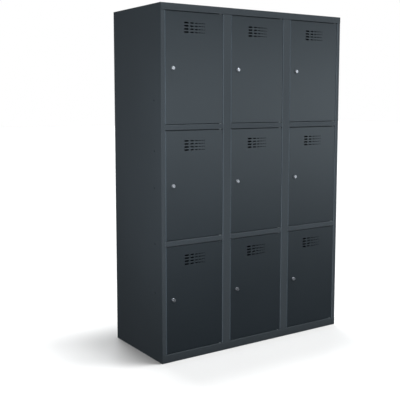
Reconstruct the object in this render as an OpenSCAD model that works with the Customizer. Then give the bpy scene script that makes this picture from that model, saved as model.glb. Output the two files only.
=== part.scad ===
// Steel locker cabinet: three columns of three compartments, each with its own inset door.
// Millimetres. +Z is up, the doors face -Y, and X runs from left to right as seen from the front.
// The origin is on the floor, in the middle of the footprint with the lock heads included.
// Every sheet part is drawn as its fold line: straight legs joined by true round bends.

/* [Cabinet] */
// Width over the side panels
width = 1190; // [1000:5:1500]
// Depth from the face of the front frame to the back panel
depth = 500; // [350:5:700]
// Height from the floor to the top
height = 1800; // [1500:5:2200]

/* [Sheet steel] */
// Thickness of the frame's sheets
sheet = 1; // [0.8:0.1:1.2]
// Thickness of the door sheets
door_sheet = 1; // [0.8:0.1:1.2]
// Inside radius of every bend
bend_r = 1; // [0.8:0.1:1.4]
// Assembly gap between sheets that meet edge to edge
seam = 0.3; // [0.2:0.05:0.5]

/* [Front frame] */
// Face width of the two outer posts
side_post = 23; // [18:1:35]
// Face width of the posts between the columns
mid_post = 50; // [44:1:70]
// Depth of the posts and rails behind the frame's face
post_depth = 20; // [18:0.5:26]
// Width of the door stop, which stands into the opening on the lock side
stop_w = 12; // [10:0.5:14]
// Face height of the top rail
top_rail = 35; // [25:1:60]
// Face height of the rails between the rows
mid_rail = 27; // [24:1:45]
// Face height of the plinth under the lowest doors
plinth = 43; // [35:1:90]

/* [Folded edges] */
// Inward lips that stiffen the posts and rails
lip_w = 10; // [8:1:14]
// Flanges along the back edges of the side panels
back_flange = 15; // [12:1:25]
// Flanges along the back edges of the partitions
wall_flange = 12; // [8:1:20]
// Turned-down edges of the top, the floor and the shelves
edge_drop = 16; // [12:1:20]
// Flanges of the plinth that lie on the floor
foot_flange = 40; // [30:1:60]

/* [Doors] */
// Gap between a door and its opening, all round
door_gap = 2; // [1.8:0.1:2.6]
// How far the doors lie behind the face of the frame
door_inset = 1.5; // [1:0.1:2]
// Lips folded inward along the door's upright edges
door_lip = 12; // [10:1:16]

/* [Door stiffeners] */
// Width over the two welded flanges
stiff_w = 64; // [50:1:90]
// Width of the raised crown
stiff_crown = 36; // [28:1:44]
// Height of the crown behind the door sheet
stiff_h = 10; // [8:0.5:11]
// Distance from the foot of the door to the foot of the stiffener
stiff_foot = 24; // [15:1:60]
// Distance from the lowest vents to the head of the stiffener
stiff_head = 23; // [12:1:60]

/* [Vents] */
// Rows of slots in a door
vent_rows = 4; // [2:1:6]
// Columns of slots in a door
vent_cols = 6; // [3:1:7]
// Length of the slots in the first column
vent_w = 26; // [18:1:32]
// Height of the slots in the first column
vent_h = 7.6; // [5:0.1:9]
// Gap after the first column
vent_gap = 9.5; // [7:0.5:12]
// Size of each column as a share of the column before
vent_shrink = 0.79; // [0.7:0.01:0.9]
// Distance from one row to the next
vent_pitch = 15.2; // [12:0.1:18]
// Distance from the top of the door to the middle of the first row
vent_top = 53; // [35:1:80]

/* [Locks] */
// Distance from the door's left edge to the lock's axis
lock_in = 43; // [32:1:60]
// Diameter of the lock head's collar
head_d = 20; // [19:0.5:24]
// How far the lock head stands off the door
head_l = 9; // [6:0.5:12]
// Diameter of the threaded barrel
barrel_d = 18; // [17:0.5:18.5]
// Width over the barrel's two flats
barrel_flats = 16; // [15.5:0.25:16.5]
// Diameter of the key plug
plug_d = 12; // [10:0.25:12.5]
// Width over the flats of the lock nut
nut_af = 23; // [21:0.5:26]
// Thickness of the lock nut
nut_t = 4; // [3:0.5:6]
// Thickness of the cam
cam_t = 2.5; // [2:0.25:3.5]
// Width of the cam's arm
cam_w = 14; // [12:0.5:18]
// How far the locked cam reaches past the edge of the post
cam_past = 2; // [-4:0.5:6]
// Clearance between the cam and the back of the door stop
cam_gap = 1; // [0.6:0.1:2]

/* [Hinges] */
// Distance from the door's right edge to the hinge axis
pivot_in = 11; // [10:0.5:13]
// Distance from the door's face to the hinge axis
pivot_back = 7; // [6.5:0.1:7.5]
// Diameter of the hinge pins
pin_d = 6; // [5:0.25:6.5]
// Running clearance round the pins and the key plug, on the radius
run = 0.05; // [0.03:0.01:0.08]
// Wall of the nylon bushes
bush_wall = 1; // [0.8:0.1:1.1]
// Width of the bushes' flanges
flange_w = 1.5; // [1:0.1:2]
// How far the bushes and pins reach past the rail's sheet
bush_past = 4; // [3:0.5:5]

/* [Door buffers] */
// Diameter of the rubber pads
buffer_d = 8; // [6:0.5:9]
// Thickness of the rubber pads
buffer_t = 1.2; // [0.8:0.1:2]
// Distance from the end of the door to the middle of its pad
buffer_in = 60; // [30:1:120]

/* [Side holes] */
// Diameter of the holes that bolt cabinets side by side
link_d = 7; // [5:0.5:9]
// Distance from the frame's face to the line of holes
link_in = 70; // [45:1:120]
// Height of the middle of the two pairs of holes
link_z = 842; // [700:1:1000]
// Distance between the holes of the outer pair
link_outer = 975; // [800:1:1100]
// Distance between the holes of the inner pair
link_inner = 470; // [300:1:600]
// Height of the single hole between the pairs
link_single = 892; // [860:1:940]

/* [Hidden] */
$fn = 48;
COLS = ["left", "centre", "right"];
ROWS = ["lower", "middle", "upper"];
last = 2;

half = sheet / 2;
out_r = bend_r + sheet;
past = 1;
rest_gap = 0.3;

// The frame's face and the back of the cabinet, set so that the footprint is centred on the origin
lock_stand = head_l - door_inset;
front = (lock_stand - depth) / 2;
back = front + depth;
// The sheets that touch the back panel lie with their back face here
wall_back = back - sheet;

opening_w = (width - 2 * side_post - 2 * mid_post) / 3;
opening_h = (height - top_rail - plinth - 2 * mid_rail) / 3;
door_w = opening_w - 2 * door_gap;
door_h = opening_h - 2 * door_gap;
door_depth = post_depth - sheet - door_inset - buffer_t - rest_gap;
door_out_r = bend_r + door_sheet;

// Inner edges of the openings, the partitions and the inner walls of each column
function opening_x(c) = -width / 2 + side_post + c * (opening_w + mid_post);
function opening_z(r) = plinth + r * (opening_h + mid_rail);
function partition_x(p) = opening_x(p) + opening_w + mid_post / 2;
function wall_left(c) = c == 0 ? -width / 2 + sheet : partition_x(c - 1) + half;
function wall_right(c) = c == last ? width / 2 - sheet : partition_x(c) - half;

pivot_y = front + door_inset + pivot_back;
function pivot_x(c) = opening_x(c) + door_gap + door_w - pivot_in;

bush_r = pin_d / 2 + run + bush_wall;
flange_r = bush_r + flange_w;
// Each door hangs a little above the flange of its lower bush
lower_flange = door_gap - rest_gap;
upper_flange = door_gap - 3 * rest_gap;
// The collars of the pins clear the round edge of the door
collar_r = pivot_back - door_out_r - rest_gap;
collar_t = 2;

// Sizes of the vents come in this step
vent_step = 0.1;

// Depths behind the door's face
cam_y = post_depth + cam_gap - door_inset;
barrel_l = cam_y - rest_gap;
neck_w = 8;
rim_t = 1.2;
rim_wall = 1;
key_w = 1.6;
key_h = 7.5;
key_depth = 4;
washer_r = 6;
washer_t = 1;
bolt_af = 8;
bolt_t = 3;
bolt_d = 4;
bolt_l = 8;
// Faces that are clamped or seated stay this far apart, so that each piece is its own solid
face_gap = 0.05;
cam_l = lock_in + door_gap + cam_past;

FRAME_COLOUR = [0.25, 0.28, 0.30];
DOOR_COLOUR = [0.27, 0.31, 0.34];
CHROME = [0.80, 0.81, 0.82];
STEEL = [0.62, 0.64, 0.66];
NYLON = [0.85, 0.85, 0.82];
RUBBER = [0.10, 0.10, 0.11];

function place(r, c) = str(ROWS[r], "_", COLS[c]);

// ---- Folded sheet ----

function unit(v) = v / norm(v);
function bend_at(path, i, r) = i > 0 && i < len(path) - 1 ? r : 0;

// A sheet's cross-section along the middle line of its thickness
module fold(path, t = sheet) {
    mid_r = bend_r + t / 2;
    for (i = [0:len(path) - 2]) {
        along = unit(path[i + 1] - path[i]);
        a = path[i] + bend_at(path, i, mid_r) * along;
        b = path[i + 1] - bend_at(path, i + 1, mid_r) * along;
        side = t / 2 * [-along.y, along.x];
        if (norm(b - a) > 0.01) polygon([a + side, a - side, b - side, b + side]);
    }
    for (i = [1:len(path) - 2]) bend(path[i], unit(path[i] - path[i - 1]), unit(path[i + 1] - path[i]), t);
}

// The round bend at one corner, between the directions of the legs before and after it
module bend(corner, before, after, t) {
    mid_r = bend_r + t / 2;
    reach = 2 * (bend_r + t);
    translate(corner + mid_r * (after - before)) intersection() {
        difference() {
            circle(r = bend_r + t);
            circle(r = bend_r);
        }
        polygon([[0, 0], -reach * after, reach * (before - after), reach * before]);
    }
}

// Draws a (y, z) profile from x0 to x1, and an (x, z) profile from y0 to y1
module along_x(x0, x1) { translate([x0, 0, 0]) rotate([90, 0, 90]) linear_extrude(x1 - x0) children(); }
module along_y(y0, y1) { translate([0, y1, 0]) rotate([90, 0, 0]) linear_extrude(y1 - y0) children(); }

// A box between two corners
module block(a, b) { translate(a) cube(b - a); }

// The turned-down side edges of a deck whose top is at z, and the room that they need in it
module side_folds(x0, x1, y0, y1, z) {
    difference() {
        children();
        block([x0 - past, y0, z - sheet - past], [x0 + out_r, y1, z + past]);
        block([x1 - out_r, y0, z - sheet - past], [x1 + past, y1, z + past]);
    }
    along_y(y0, y1) {
        fold([[x0 + half, z - edge_drop], [x0 + half, z - half], [x0 + out_r, z - half]]);
        fold([[x1 - half, z - edge_drop], [x1 - half, z - half], [x1 - out_r, z - half]]);
    }
}

// ---- Frame ----

// Outer walls with the front post folded on; the left one carries a door stop
module side_panel(side) {
    outer = side * width / 2;
    edge = outer - side * side_post;
    tail = side < 0 ? edge + stop_w : edge + lip_w;
    color(FRAME_COLOUR) difference() {
        linear_extrude(height) fold([
            [outer - side * back_flange, wall_back - half],
            [outer - side * half, wall_back - half],
            [outer - side * half, front + half],
            [edge + side * half, front + half],
            [edge + side * half, front + post_depth - half],
            [tail, front + post_depth - half]
        ]);
        // The rails lap over the post at the top and at the foot
        for (z = [[-past, plinth + seam], [height - top_rail - seam, height + past]]) {
            block([min(outer - side * sheet, tail + side * past) - (side < 0 ? 0 : stop_w), front - past, z[0]],
                  [max(outer - side * sheet, tail) + (side < 0 ? past : 0), front + post_depth + past, z[1]]);
            block([-width, front - past, z[0]], [width, front + out_r + seam, z[1]]);
        }
        if (side < 0) stop_notches(edge);
        for (z = [link_z - link_outer / 2, link_z + link_outer / 2, link_z - link_inner / 2,
                  link_z + link_inner / 2, link_single])
            translate([outer, front + link_in, z]) rotate([0, 90, 0])
                cylinder(d = link_d, h = 4 * sheet, center = true);
    }
}

// The door stop is interrupted where the rails between the rows pass
module stop_notches(edge) {
    for (r = [1:last])
        block([edge, front - past, opening_z(r) - mid_rail - seam],
              [edge + stop_w + past, front + post_depth + past, opening_z(r) + seam]);
}

// Inner walls: door stop, post and wall are one folded sheet
module partition(p) {
    x = partition_x(p);
    edge = x + mid_post / 2;
    hinge_edge = x - mid_post / 2;
    color(FRAME_COLOUR) difference() {
        translate([0, 0, plinth + seam]) linear_extrude(height - sheet - plinth - 2 * seam) fold([
            [edge + stop_w, front + post_depth - half],
            [edge - half, front + post_depth - half],
            [edge - half, front + half],
            [hinge_edge + half, front + half],
            [hinge_edge + half, front + post_depth - half],
            [x, front + post_depth - half],
            [x, wall_back - half],
            [x + wall_flange, wall_back - half]
        ]);
        block([hinge_edge - past, front - past, height - top_rail - seam],
              [edge + stop_w + past, front + post_depth + seam, height]);
        block([x - past, wall_back - out_r - seam, height - edge_drop - seam],
              [x + wall_flange + past, back, height]);
        stop_notches(edge);
    }
}

// Cuts the ends of the top and the base: only their faces lap over the side panels
module end_cuts() {
    side_edge = width / 2 - sheet - seam;
    flange_edge = width / 2 - back_flange - seam;
    difference() {
        children();
        for (side = [-1, 1]) {
            block([min(side * side_edge, side * width), front + out_r, -past],
                  [max(side * side_edge, side * width), back + past, height + past]);
            block([min(side * flange_edge, side * width), wall_back - out_r - seam, -past],
                  [max(side * flange_edge, side * width), back + past, height + past]);
        }
    }
}

module bush_holes(z0, z1) {
    for (c = [0:last]) bush_hole(c, z0, z1);
}

module bush_hole(c, z0, z1) {
    translate([pivot_x(c), pivot_y, z0]) cylinder(r = bush_r + run, h = z1 - z0);
}

module top_panel() {
    side_edge = width / 2 - sheet - seam;
    color(FRAME_COLOUR) difference() {
        side_folds(-side_edge, side_edge, front + post_depth + lip_w, wall_back - edge_drop, height)
            end_cuts() along_x(-width / 2, width / 2) fold([
                [wall_back - half, height - edge_drop],
                [wall_back - half, height - half],
                [front + half, height - half],
                [front + half, height - top_rail + half],
                [front + post_depth - half, height - top_rail + half],
                [front + post_depth - half, height - top_rail + lip_w]
            ]);
        bush_holes(height - top_rail - past, height - top_rail + lip_w);
    }
}

module base_panel() {
    side_edge = width / 2 - sheet - seam;
    color(FRAME_COLOUR) difference() {
        side_folds(-side_edge, side_edge, front + foot_flange, wall_back - foot_flange, plinth)
            end_cuts() along_x(-width / 2, width / 2) fold([
                [front + foot_flange, half],
                [front + half, half],
                [front + half, plinth - half],
                [wall_back - half, plinth - half],
                [wall_back - half, half],
                [wall_back - foot_flange, half]
            ]);
        bush_holes(plinth - edge_drop, plinth + past);
    }
}

module back_panel() {
    color(FRAME_COLOUR) block([-width / 2 + out_r, wall_back, seam], [width / 2 - out_r, back, height - seam]);
}

// Floor of a compartment in the row r, with the rail over the doors below folded on
module shelf(r, c) {
    z = opening_z(r);
    x0 = wall_left(c) + seam;
    x1 = wall_right(c) - seam;
    rear = wall_back - sheet - seam;
    behind_post = front + post_depth + seam;
    color(FRAME_COLOUR) difference() {
        side_folds(x0, x1, behind_post + out_r, rear - edge_drop, z)
            along_x(x0, x1) fold([
                [rear - half, z - edge_drop],
                [rear - half, z - half],
                [front + half, z - half],
                [front + half, z - mid_rail + half],
                [front + post_depth - half, z - mid_rail + half],
                [front + post_depth - half, z - mid_rail + lip_w]
            ]);
        block([x0 - past, front - past, z - mid_rail - past], [opening_x(c) + seam, behind_post, z + past]);
        block([opening_x(c) + opening_w - seam, front - past, z - mid_rail - past],
              [x1 + past, behind_post, z + past]);
        bush_hole(c, z - mid_rail - past, z + past);
    }
}

// Flanged nylon bushes that carry the door pins, one below and one above each door
module hinge_bushes() {
    color(NYLON) for (r = [0:last], c = [0:last]) {
        translate([pivot_x(c), pivot_y, opening_z(r)]) mirror([0, 0, 1]) bush(lower_flange);
        translate([pivot_x(c), pivot_y, opening_z(r) + opening_h]) bush(upper_flange);
    }
}

module bush(flange_t) {
    difference() {
        union() {
            translate([0, 0, -flange_t]) cylinder(r = flange_r, h = flange_t);
            cylinder(r = bush_r, h = sheet + bush_past);
        }
        translate([0, 0, -flange_t - past]) cylinder(r = pin_d / 2 + run, h = flange_t + sheet + bush_past + 2 * past);
    }
}

// Rubber pads on the door stops, with a turned edge
module door_buffers() {
    edge = 0.3;
    color(RUBBER) for (r = [0:last], c = [0:last], z = [buffer_in, opening_h - buffer_in])
        translate([opening_x(c) + door_gap + buffer_d / 2, front + post_depth - sheet, opening_z(r) + z])
            rotate([90, 0, 0]) {
                cylinder(d = buffer_d, h = buffer_t - edge);
                translate([0, 0, buffer_t - edge]) cylinder(d1 = buffer_d, d2 = buffer_d - 2 * edge, h = edge);
            }
}

// ---- Doors ----

// Puts a piece on its door: x from the left edge, y from the face, z from the foot
module on_door(r, c) {
    translate([opening_x(c) + door_gap, front + door_inset, opening_z(r) + door_gap]) children();
}

// A pan with all four edges folded back and lips on the upright ones
module pan() {
    t = door_sheet / 2;
    for (side = [0, 1]) translate([side * door_w, 0, 0]) mirror([side, 0, 0])
        linear_extrude(door_h) fold([
            [door_lip, door_depth - t], [t, door_depth - t], [t, t], [door_out_r, t]
        ], door_sheet);
    along_x(door_out_r, door_w - door_out_r) fold([
        [door_depth, t], [t, t], [t, door_h - t], [door_depth, door_h - t]
    ], door_sheet);
}

// Vent slots: each column is the one before it made smaller, in steps that a punch can have
function punched(v) = round(v / vent_step) * vent_step;
function vent_share(i) = pow(vent_shrink, i);
function vent_x(i) = (vent_w + vent_gap) * (1 - vent_share(i)) / (1 - vent_shrink);
vent_field = vent_x(vent_cols) - vent_gap * vent_share(vent_cols - 1);

module slot(w, h) {
    translate([h / 2, -h / 2]) square([w - h, h]);
    for (x = [h / 2, w - h / 2]) translate([x, 0]) circle(d = h);
}

module vents() {
    for (row = [0:vent_rows - 1], col = [0:vent_cols - 1])
        translate([punched((door_w - vent_field) / 2 + vent_x(col)), 0, door_h - vent_top - row * vent_pitch])
            along_y(-past, door_sheet + past)
                slot(punched(vent_w * vent_share(col)), punched(vent_h * vent_share(col)));
}

// The barrel's outline: a round with two flats, drawn with a margin
module barrel_outline(margin = 0) {
    intersection() {
        circle(d = barrel_d + 2 * margin);
        square([barrel_flats + 2 * margin, 2 * barrel_d], center = true);
    }
}

module door_panel(r, c) {
    color(DOOR_COLOUR) on_door(r, c) difference() {
        pan();
        vents();
        translate([lock_in, 0, door_h / 2]) along_y(-past, door_sheet + past) barrel_outline(run);
        for (z = [0, door_h]) translate([door_w - pivot_in, pivot_back, z])
            cylinder(d = pin_d + 2 * run, h = 4 * door_sheet, center = true);
    }
}

// A hat section welded to the inside of the door, below the vents
module door_stiffener(r, c) {
    t = door_sheet / 2;
    top = door_h - vent_top - (vent_rows - 1) * vent_pitch - vent_h / 2 - stiff_head;
    color(DOOR_COLOUR) on_door(r, c) translate([door_w / 2, door_sheet, stiff_foot])
        linear_extrude(top - stiff_foot) fold([
            [-stiff_w / 2, t], [-stiff_crown / 2 + t, t], [-stiff_crown / 2 + t, stiff_h - t],
            [stiff_crown / 2 - t, stiff_h - t], [stiff_crown / 2 - t, t], [stiff_w / 2, t]
        ], door_sheet);
}

// Pins that are riveted through the door's top and bottom edges and turn in the bushes
module hinge_pins(r, c) {
    reach = door_gap + sheet + bush_past;
    color(STEEL) on_door(r, c) for (end = [0, 1])
        translate([door_w - pivot_in, pivot_back, end * door_h]) mirror([0, 0, 1 - end]) {
            translate([0, 0, -door_sheet - collar_t]) cylinder(r = collar_r, h = collar_t);
            translate([0, 0, -door_sheet - collar_t]) cylinder(d = pin_d, h = collar_t + door_sheet + reach);
        }
}

// ---- Locks ----

// Puts a piece on the lock's axis, with local z pointing into the cabinet from the door's face
module on_lock(r, c) {
    on_door(r, c) translate([lock_in, 0, door_h / 2]) rotate([-90, 0, 0]) children();
}

// Outline of the head: a collar with a round edge, then a tapered nose with a bevelled end
module head_profile() {
    collar = 2.5;
    round_r = 1.2;
    nose = barrel_d / 2;
    taper = 0.5;
    bevel = 0.8;
    difference() {
        union() {
            translate([0, -collar]) square([head_d / 2 - round_r, collar]);
            translate([0, round_r - collar]) square([head_d / 2, collar - round_r]);
            translate([head_d / 2 - round_r, round_r - collar]) circle(r = round_r);
            polygon([
                [0, -collar], [nose, -collar], [nose - taper, bevel - head_l],
                [nose - taper - bevel, -head_l], [0, -head_l]
            ]);
        }
        translate([-head_d, -2 * head_l]) square([head_d, 4 * head_l]);
    }
}

module lock_body(r, c) {
    bore = plug_d / 2 + run;
    color(CHROME) on_lock(r, c) difference() {
        union() {
            rotate_extrude() head_profile();
            linear_extrude(barrel_l) barrel_outline();
        }
        translate([0, 0, -head_l - past]) cylinder(r = bore, h = head_l + barrel_l + 2 * past);
        translate([0, 0, -head_l - past]) cylinder(r = bore + rim_wall, h = past + rim_t + run);
    }
    color(STEEL) on_lock(r, c) translate([0, 0, door_sheet]) difference() {
        cylinder(d = nut_af / cos(30), h = nut_t, $fn = 6);
        translate([0, 0, -past]) cylinder(d = barrel_d + 2 * run, h = nut_t + 2 * past);
    }
}

// Key plug, cam and bolt; the cam points down with the lock open
module lock_cam(r, c) {
    color(CHROME) on_lock(r, c) difference() {
        union() {
            translate([0, 0, -head_l]) cylinder(r = plug_d / 2 + rim_wall, h = rim_t);
            translate([0, 0, -head_l]) cylinder(d = plug_d, h = head_l + barrel_l);
            translate([-neck_w / 2, -neck_w / 2, barrel_l]) cube([neck_w, neck_w, cam_y - barrel_l + cam_t]);
        }
        translate([-key_w / 2, -key_h / 2, -head_l - past]) cube([key_w, key_h, key_depth + past]);
        translate([0, 0, cam_y + cam_t - bolt_l - face_gap]) cylinder(d = bolt_d + 2 * run, h = bolt_l + past);
    }
    color(STEEL) on_lock(r, c) {
        translate([0, 0, cam_y]) linear_extrude(cam_t) cam_outline();
        translate([0, 0, cam_y + cam_t + face_gap]) {
            translate([0, 0, -bolt_l]) cylinder(d = bolt_d, h = bolt_l);
            cylinder(r = washer_r, h = washer_t);
            cylinder(d = bolt_af / cos(30), h = washer_t + bolt_t, $fn = 6);
        }
    }
}

module cam_outline() {
    hub_wall = 5;
    hub_r = neck_w / 2 + hub_wall;
    difference() {
        union() {
            circle(r = hub_r);
            translate([-cam_w / 2, 0]) square([cam_w, cam_l - cam_w / 2]);
            translate([0, cam_l - cam_w / 2]) circle(d = cam_w);
        }
        square(neck_w + 2 * run, center = true);
    }
}

// ---- The cabinet ----

side_panel(-1);  // side_panel_left
side_panel(1);  // side_panel_right
partition(0);  // partition_left
partition(1);  // partition_right
top_panel();
base_panel();
back_panel();
hinge_bushes();
door_buffers();
for (r = [1:last], c = [0:last])
    shelf(r, c);
for (r = [0:last], c = [0:last]) {
    door_panel(r, c);
    door_stiffener(r, c);
    hinge_pins(r, c);
    lock_body(r, c);
    lock_cam(r, c);
}
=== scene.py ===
"""Looks of the steel locker cabinet: powder-coated sheet, plated locks, studio light and camera.

Everything is in metres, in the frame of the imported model: +Z up, doors facing -Y, floor at z = 0.
"""

import math

import bpy
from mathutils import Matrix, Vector


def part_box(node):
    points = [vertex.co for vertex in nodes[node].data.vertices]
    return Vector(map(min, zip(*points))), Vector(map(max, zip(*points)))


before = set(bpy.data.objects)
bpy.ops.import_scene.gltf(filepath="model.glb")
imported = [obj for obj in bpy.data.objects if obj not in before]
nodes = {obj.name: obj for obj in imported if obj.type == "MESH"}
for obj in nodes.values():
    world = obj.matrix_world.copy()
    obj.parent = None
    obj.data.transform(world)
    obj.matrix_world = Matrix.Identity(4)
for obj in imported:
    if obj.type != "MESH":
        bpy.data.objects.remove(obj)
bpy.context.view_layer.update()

COLUMNS = ("left", "centre", "right")
ROWS = ("lower", "middle", "upper")
PLACES = [f"{row}_{column}" for row in ROWS for column in COLUMNS]
SHELVES = [f"shelf_{row}_{column}" for row in ROWS[1:] for column in COLUMNS]

SIDE_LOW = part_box("side_panel_left")[0]
FRONT_LEFT_FOOT = Vector((SIDE_LOW.x, SIDE_LOW.y, 0))


# ---- Node helpers ----

def new_material(name):
    """A new material, its node tree with nothing in it but the output, and that output node."""
    material = bpy.data.materials.new(name)
    material.use_nodes = True
    tree = material.node_tree
    tree.nodes.clear()
    output = tree.nodes.new("ShaderNodeOutputMaterial")
    return material, tree, output


def add(tree, kind, **settings):
    """A new node with some of its properties set."""
    node = tree.nodes.new(kind)
    for key, value in settings.items():
        setattr(node, key, value)
    return node


def calculate(tree, operation, first, second=None, **settings):
    """The result of one maths step; the second operand is a socket or a number."""
    node = add(tree, "ShaderNodeMath", operation=operation, **settings)
    tree.links.new(first, node.inputs[0])
    if isinstance(second, (int, float)):
        node.inputs[1].default_value = second
    elif second is not None:
        tree.links.new(second, node.inputs[1])
    return node.outputs[0]


def coordinates(tree, kind):
    """Texture coordinates: Object is the place in metres, Normal the direction a surface faces."""
    return add(tree, "ShaderNodeTexCoord").outputs[kind]


def along(tree, vector, *axes):
    """A vector's parts along the named axes."""
    split = add(tree, "ShaderNodeSeparateXYZ")
    tree.links.new(vector, split.inputs[0])
    return [split.outputs[axis] for axis in axes]


def toward(tree, vector, direction):
    """How far a unit vector points in a direction, from -1 to 1."""
    node = add(tree, "ShaderNodeVectorMath", operation="DOT_PRODUCT")
    node.inputs[1].default_value = direction
    tree.links.new(vector, node.inputs[0])
    return node.outputs["Value"]


def noise(tree, vector, scale, detail=2.0):
    node = add(tree, "ShaderNodeTexNoise")
    node.inputs["Scale"].default_value = scale
    node.inputs["Detail"].default_value = detail
    node.inputs["Roughness"].default_value = 0.5
    tree.links.new(vector, node.inputs["Vector"])
    return node.outputs["Fac"]


def ramp(tree, factor, stops):
    """A colour ramp from (position, colour) pairs."""
    node = add(tree, "ShaderNodeValToRGB")
    elements = node.color_ramp.elements
    while len(elements) < len(stops):
        elements.new(0.5)
    for element, (position, colour) in zip(elements, stops):
        element.position = position
        element.color = (*colour, 1)
    tree.links.new(factor, node.inputs["Fac"])
    return node.outputs["Color"]


def map_range(tree, value, before=(0.0, 1.0), after=(0.0, 1.0)):
    """Carries a value from one range to another, and holds it inside."""
    node = add(tree, "ShaderNodeMapRange")
    node.inputs["From Min"].default_value, node.inputs["From Max"].default_value = before
    node.inputs["To Min"].default_value, node.inputs["To Max"].default_value = after
    tree.links.new(value, node.inputs["Value"])
    return node.outputs["Result"]


def mix_colours(tree, first, second, factor=1.0, blend="MIX"):
    """Two colours put together; each input is a socket, or a plain value."""
    node = add(tree, "ShaderNodeMix", data_type="RGBA", blend_type=blend)
    for name, value in (("Factor", factor), ("A", first), ("B", second)):
        if isinstance(value, bpy.types.NodeSocket):
            tree.links.new(value, node.inputs[name])
        else:
            node.inputs[name].default_value = value
    return node.outputs["Result"]


def mix_shaders(tree, first, second, factor):
    """Two shaders put together; the factor is a socket or a number."""
    node = add(tree, "ShaderNodeMixShader")
    if isinstance(factor, float):
        node.inputs["Fac"].default_value = factor
    else:
        tree.links.new(factor, node.inputs["Fac"])
    tree.links.new(first, node.inputs[1])
    tree.links.new(second, node.inputs[2])
    return node.outputs[0]


def bump(tree, shader, height, strength, distance):
    node = add(tree, "ShaderNodeBump")
    node.inputs["Strength"].default_value = strength
    node.inputs["Distance"].default_value = distance
    tree.links.new(height, node.inputs["Height"])
    tree.links.new(node.outputs["Normal"], shader.inputs["Normal"])


def tinted(colour, share):
    return tuple(share * c for c in colour)


# ---- Materials ----

# How fine the paint's noises are, as waves to a metre
CLOUDS, ORANGE_PEEL, GRIT = 2.3, 140.0, 900.0
# Strength of the relief, and its height in metres
PAINT_RELIEF = (0.35, 0.00012)
PLASTIC_RELIEF = (0.3, 0.0001)
# How soon the painted highlight of a bend reaches its full strength
BEND_HIGHLIGHT_GAIN = 2.2


def painted_bend_highlight(tree, facing):
    """Mask of the painted highlight: 1 on the middle of the upright bends that face left, right or both
    ways, 0 elsewhere.
    """
    x, y = along(tree, coordinates(tree, "Normal"), "X", "Y")
    corner = calculate(tree, "MULTIPLY", x, y)
    if facing == "both":
        corner = calculate(tree, "ABSOLUTE", corner)
    gain = -BEND_HIGHLIGHT_GAIN if facing == "right" else BEND_HIGHLIGHT_GAIN
    return calculate(tree, "MULTIPLY", corner, gain, use_clamp=True)


def painted_floor_shade(tree, colour, tone, height):
    """Painted shade: darkens a colour to the given tone at the floor, and leaves it as it is from the
    height up.
    """
    (level,) = along(tree, coordinates(tree, "Object"), "Z")
    share = map_range(tree, level, (0.0, height), (tone, 1.0))
    return mix_colours(tree, colour, share, blend="MULTIPLY")


def powder_coat(name, colour, spread, roughness, edge, foot, facing="both"):
    """Powder coat: mottled colour, orange peel and grit, with a painted highlight on upright bends and
    painted shade toward the floor.

    spread is the mottling's share of the colour, edge the strength of the painted highlight on the
    bends, and foot the tone of the painted shade at the floor with the height where it ends.
    """
    material, tree, output = new_material(name)
    shader = add(tree, "ShaderNodeBsdfPrincipled")
    place = coordinates(tree, "Object")
    mottled = ramp(tree, noise(tree, place, CLOUDS, detail=3.0),
                   [(0.3, tinted(colour, 1 - spread)), (0.7, tinted(colour, 1 + spread))])
    # Painted highlight: the upright bends are made lighter in colour
    coat = mix_colours(tree, mottled, (*tinted(colour, edge), 1), painted_bend_highlight(tree, facing))
    # Painted shade: the colour darkens toward the floor
    tree.links.new(painted_floor_shade(tree, coat, *foot), shader.inputs["Base Color"])
    grit = noise(tree, place, GRIT, detail=1.0)
    uneven = map_range(tree, grit, after=(roughness - 0.05, roughness + 0.05))
    tree.links.new(uneven, shader.inputs["Roughness"])
    shader.inputs["Specular IOR Level"].default_value = 0.5
    relief = calculate(tree, "ADD", grit, noise(tree, place, ORANGE_PEEL))
    bump(tree, shader, relief, *PAINT_RELIEF)
    tree.links.new(shader.outputs[0], output.inputs["Surface"])
    return material


def plated(name, colour, roughness, lines):
    """Plated metal with faint turning marks."""
    material, tree, output = new_material(name)
    shader = add(tree, "ShaderNodeBsdfPrincipled")
    shader.inputs["Metallic"].default_value = 1.0
    marks = noise(tree, coordinates(tree, "Object"), lines)
    toned = ramp(tree, marks, [(0.35, tinted(colour, 0.9)), (0.65, colour)])
    tree.links.new(toned, shader.inputs["Base Color"])
    uneven = map_range(tree, marks, after=(roughness * 0.8, roughness * 1.2))
    tree.links.new(uneven, shader.inputs["Roughness"])
    tree.links.new(shader.outputs[0], output.inputs["Surface"])
    return material


def soft_plastic(name, colour, roughness, grain):
    """Moulded nylon or rubber with a fine grain."""
    material, tree, output = new_material(name)
    shader = add(tree, "ShaderNodeBsdfPrincipled")
    grit = noise(tree, coordinates(tree, "Object"), grain)
    toned = ramp(tree, grit, [(0.3, tinted(colour, 0.88)), (0.7, colour)])
    tree.links.new(toned, shader.inputs["Base Color"])
    uneven = map_range(tree, grit, after=(roughness - 0.06, roughness + 0.06))
    tree.links.new(uneven, shader.inputs["Roughness"])
    bump(tree, shader, grit, *PLASTIC_RELIEF)
    tree.links.new(shader.outputs[0], output.inputs["Surface"])
    return material


FRAME_COLOUR = (0.062, 0.067, 0.073)
DOOR_COLOUR = (0.029, 0.034, 0.039)
FRAME_COAT = {"spread": 0.05, "roughness": 0.56}
# In these coats, edge is the strength of the painted highlight on the bends, and foot the painted shade
# toward the floor
POST_COAT = {**FRAME_COAT, "edge": 4.2, "foot": (0.8, 0.6)}
# A foot with no painted shade toward the floor
NO_FLOOR_SHADE = (1.0, 1.0)

FRAME_PAINT = powder_coat("frame_paint", FRAME_COLOUR, **POST_COAT)
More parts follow.
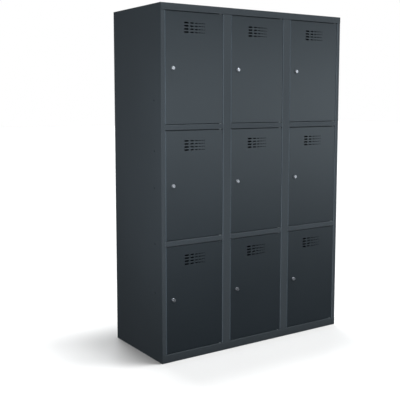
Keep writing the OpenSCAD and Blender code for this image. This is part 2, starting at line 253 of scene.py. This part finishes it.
# Only the inward-facing bends of the side panels get the painted highlight
LEFT_SIDE_PAINT = powder_coat("left_side_paint", FRAME_COLOUR, **POST_COAT, facing="right")
RIGHT_SIDE_PAINT = powder_coat("right_side_paint", FRAME_COLOUR, **POST_COAT, facing="left")
# The top panel's paint is the frame's paint made darker: painted shade on the top rail
TOP_PAINT = powder_coat("top_paint", tinted(FRAME_COLOUR, 0.9), **FRAME_COAT, edge=1.0, foot=NO_FLOOR_SHADE)
# The plinth's paint has the strongest painted shade toward the floor
PLINTH_PAINT = powder_coat("plinth_paint", FRAME_COLOUR, **FRAME_COAT, edge=1.0, foot=(0.5, 0.1))
DOOR_PAINT = powder_coat("door_paint", DOOR_COLOUR, spread=0.06, roughness=0.30,
                         edge=6.0, foot=(0.85, 0.6))
NICKEL = plated("lock_nickel", (0.54, 0.51, 0.52), roughness=0.28, lines=300.0)
ZINC = plated("zinc_steel", (0.60, 0.61, 0.62), roughness=0.34, lines=500.0)
NYLON = soft_plastic("nylon", (0.70, 0.70, 0.66), roughness=0.5, grain=700.0)
RUBBER = soft_plastic("rubber", (0.020, 0.020, 0.021), roughness=0.7, grain=900.0)

FINISHES = {
    "side_panel_left": LEFT_SIDE_PAINT,
    "side_panel_right": RIGHT_SIDE_PAINT,
    "top_panel": TOP_PAINT,
    "base_panel": PLINTH_PAINT,
    "hinge_bushes": NYLON,
    "door_buffers": RUBBER,
    **dict.fromkeys(["partition_left", "partition_right", "back_panel", *SHELVES], FRAME_PAINT),
}
DOOR_FINISHES = {
    "door_panel": DOOR_PAINT,
    "door_stiffener": DOOR_PAINT,
    "hinge_pins": ZINC,
    "lock_body": NICKEL,
    "lock_cam": NICKEL,
}


def paint(node, material):
    for slot in nodes[node].material_slots:
        slot.material = material


def dress_nodes():
    for node, material in FINISHES.items():
        paint(node, material)
    for part, material in DOOR_FINISHES.items():
        for place in PLACES:
            paint(f"{part}_{place}", material)


# ---- Stage ----

FLOOR_SIZE = 60.0
# Warm enough to look neutral under the cool light
PAPER = (0.88, 0.77, 0.71)
PAPER_GLOW = 0.05
FLOOR_GLOSS = 0.14
FLOOR_ROUGHNESS = 0.22


def white_floor():
    """A glossy white floor that catches the shadow and gives no light back to the cabinet."""
    bpy.ops.mesh.primitive_plane_add(size=FLOOR_SIZE, location=(0, 0, 0))
    floor = bpy.context.object
    floor.name = "floor"
    material, tree, output = new_material("floor_white")
    paper = add(tree, "ShaderNodeBsdfDiffuse")
    paper.inputs["Color"].default_value = (*PAPER, 1)
    glow = add(tree, "ShaderNodeEmission")
    glow.inputs["Strength"].default_value = PAPER_GLOW
    both = add(tree, "ShaderNodeAddShader")
    tree.links.new(paper.outputs[0], both.inputs[0])
    tree.links.new(glow.outputs[0], both.inputs[1])
    gloss = add(tree, "ShaderNodeBsdfGlossy")
    gloss.inputs["Color"].default_value = (1, 1, 1, 1)
    gloss.inputs["Roughness"].default_value = FLOOR_ROUGHNESS
    surface = mix_shaders(tree, both.outputs[0], gloss.outputs[0], FLOOR_GLOSS)
    tree.links.new(surface, output.inputs["Surface"])
    floor.data.materials.append(material)
    floor.visible_glossy = False
    floor.visible_diffuse = False


# To the camera, the doors mirror the room on the front side; the cross side is square to that
FRONT_SIDE = (0.554, -0.832, 0.0)
CROSS_SIDE = (0.832, 0.554, 0.0)
COOL_LIGHT = (0.80, 0.92, 1.0)
ROOM_STRENGTH = 3.5
# The room's brightness by height: -1 is straight down, 0 the horizon, 1 straight up
FRONT_WALL = [(-0.25, 0.0), (-0.12, 0.12), (0.0, 1.0), (0.12, 0.0),
              (0.25, 0.0), (0.45, 0.45), (0.7, 0.1)]
BACK_WALL = [(-0.12, 0.0), (0.0, 0.22), (0.12, 0.0)]
END_WALLS = [(-0.8, 0.0), (-0.5, 0.2), (-0.1, 0.08), (0.2, 0.0)]


def wall(tree, height, stops):
    """A wall's brightness, from the view's height between 0, straight down, and 1, straight up."""
    return ramp(tree, height, [((h + 1) / 2, (v, v, v)) for h, v in stops])


def studio_world():
    """White to the camera; to the cabinet, a dim room with a bright strip of wall round the horizon."""
    world = bpy.data.worlds.new("studio")
    bpy.context.scene.world = world
    world.use_nodes = True
    tree = world.node_tree
    tree.nodes.clear()
    output = add(tree, "ShaderNodeOutputWorld")
    direction = coordinates(tree, "Generated")
    (z,) = along(tree, direction, "Z")
    height = map_range(tree, z, (-1.0, 1.0))
    frontness = map_range(tree, toward(tree, direction, FRONT_SIDE), (-1.0, 1.0))
    walls = mix_colours(tree, wall(tree, height, BACK_WALL), wall(tree, height, FRONT_WALL), frontness)
    endness = calculate(tree, "POWER", toward(tree, direction, CROSS_SIDE), 2.0)
    walls = mix_colours(tree, walls, wall(tree, height, END_WALLS), endness, "ADD")
    room = add(tree, "ShaderNodeBackground")
    room.inputs["Strength"].default_value = ROOM_STRENGTH
    tree.links.new(mix_colours(tree, walls, (*COOL_LIGHT, 1), blend="MULTIPLY"), room.inputs["Color"])
    seen = add(tree, "ShaderNodeBackground")
    seen.inputs["Color"].default_value = (1, 1, 1, 1)
    camera_ray = add(tree, "ShaderNodeLightPath").outputs["Is Camera Ray"]
    surroundings = mix_shaders(tree, room.outputs[0], seen.outputs[0], camera_ray)
    tree.links.new(surroundings, output.inputs["Surface"])


# ---- Lights ----

SUN_HEIGHT = 4.4
# The key light is a tall narrow window, made of suns on one side of the cabinet. Each has the degrees
# that it leans from straight overhead, and its energy.
KEY_SIDE = (0.904, -0.427)
KEY_SUNS = [(4, 1.2), (10, 1.2), (16, 1.15)]
# Where the back light stands, and its energy
BACK_SUN = (0.25, 1.0, 1.6)
# Degrees across, which sets how soft the shadows are
SUN_WIDTH = 10
# Each box's place, what it points at, its energy, and its width and height
SOFT_BOXES = {
    "left_box": ((-1.50, -0.75, 1.0), (-0.6, -0.15, 1.0), 5.6, (0.6, 0.8)),
    "right_box": ((3.0, -0.85, 1.1), (0.0, -0.25, 0.9), 12, (0.25, 1.8)),
}


def add_light(name, kind, place, target, energy):
    data = bpy.data.lights.new(name, kind)
    data.energy = energy
    data.color = COOL_LIGHT
    lamp = bpy.data.objects.new(name, data)
    bpy.context.scene.collection.objects.link(lamp)
    lamp.location = place
    lamp.rotation_euler = (Vector(target) - Vector(place)).to_track_quat("-Z", "Y").to_euler()
    return lamp


def sun(name, x, y, energy):
    """A sun that shines toward the middle of the cabinet's foot from the sun height over (x, y)."""
    lamp = add_light(name, "SUN", (x, y, SUN_HEIGHT), (0, 0, 0), energy)
    lamp.data.angle = math.radians(SUN_WIDTH)


def soft_box(name, place, target, energy, size, receivers):
    """A rectangular light, of the given width and height, that lights the receivers only."""
    lamp = add_light(name, "AREA", place, target, energy)
    lamp.data.shape = "RECTANGLE"
    lamp.data.size, lamp.data.size_y = size
    lamp.visible_camera = False
    lamp.light_linking.receiver_collection = receivers


def lights():
    """High lights that shape the shadow, and a soft box on each side that lights the folded edges and
    the rest of the cabinet; most of the edges' brightness is a painted highlight in the paint.
    """
    for number, (lean, energy) in enumerate(KEY_SUNS):
        reach = SUN_HEIGHT * math.tan(math.radians(lean))
        sun(f"key_{number}", KEY_SIDE[0] * reach, KEY_SIDE[1] * reach, energy)
    sun("back", *BACK_SUN)
    cabinet = bpy.data.collections.new("cabinet")
    for piece in nodes.values():
        cabinet.objects.link(piece)
    for name, settings in SOFT_BOXES.items():
        soft_box(name, *settings, cabinet)


# ---- Camera ----

# Where the camera stands, measured from the front left foot of the cabinet
CAMERA_OFFSET = Vector((-1.788, -3.0285, 1.3306))
# Degrees to the right of straight ahead, and down
CAMERA_YAW = 33.64
CAMERA_PITCH = 6.04
# Millimetres
CAMERA_LENS = 64.58
CAMERA_SENSOR = 36
CAMERA_SHIFT = -0.06


def add_camera():
    data = bpy.data.cameras.new("camera")
    data.sensor_width = CAMERA_SENSOR
    data.lens = CAMERA_LENS
    data.shift_y = CAMERA_SHIFT
    camera = bpy.data.objects.new("camera", data)
    bpy.context.scene.collection.objects.link(camera)
    camera.location = FRONT_LEFT_FOOT + CAMERA_OFFSET
    camera.rotation_euler = (math.radians(90 - CAMERA_PITCH), 0, -math.radians(CAMERA_YAW))
    bpy.context.scene.camera = camera


dress_nodes()
white_floor()
studio_world()
lights()
add_camera()
bpy.context.scene.view_settings.view_transform = "Standard"
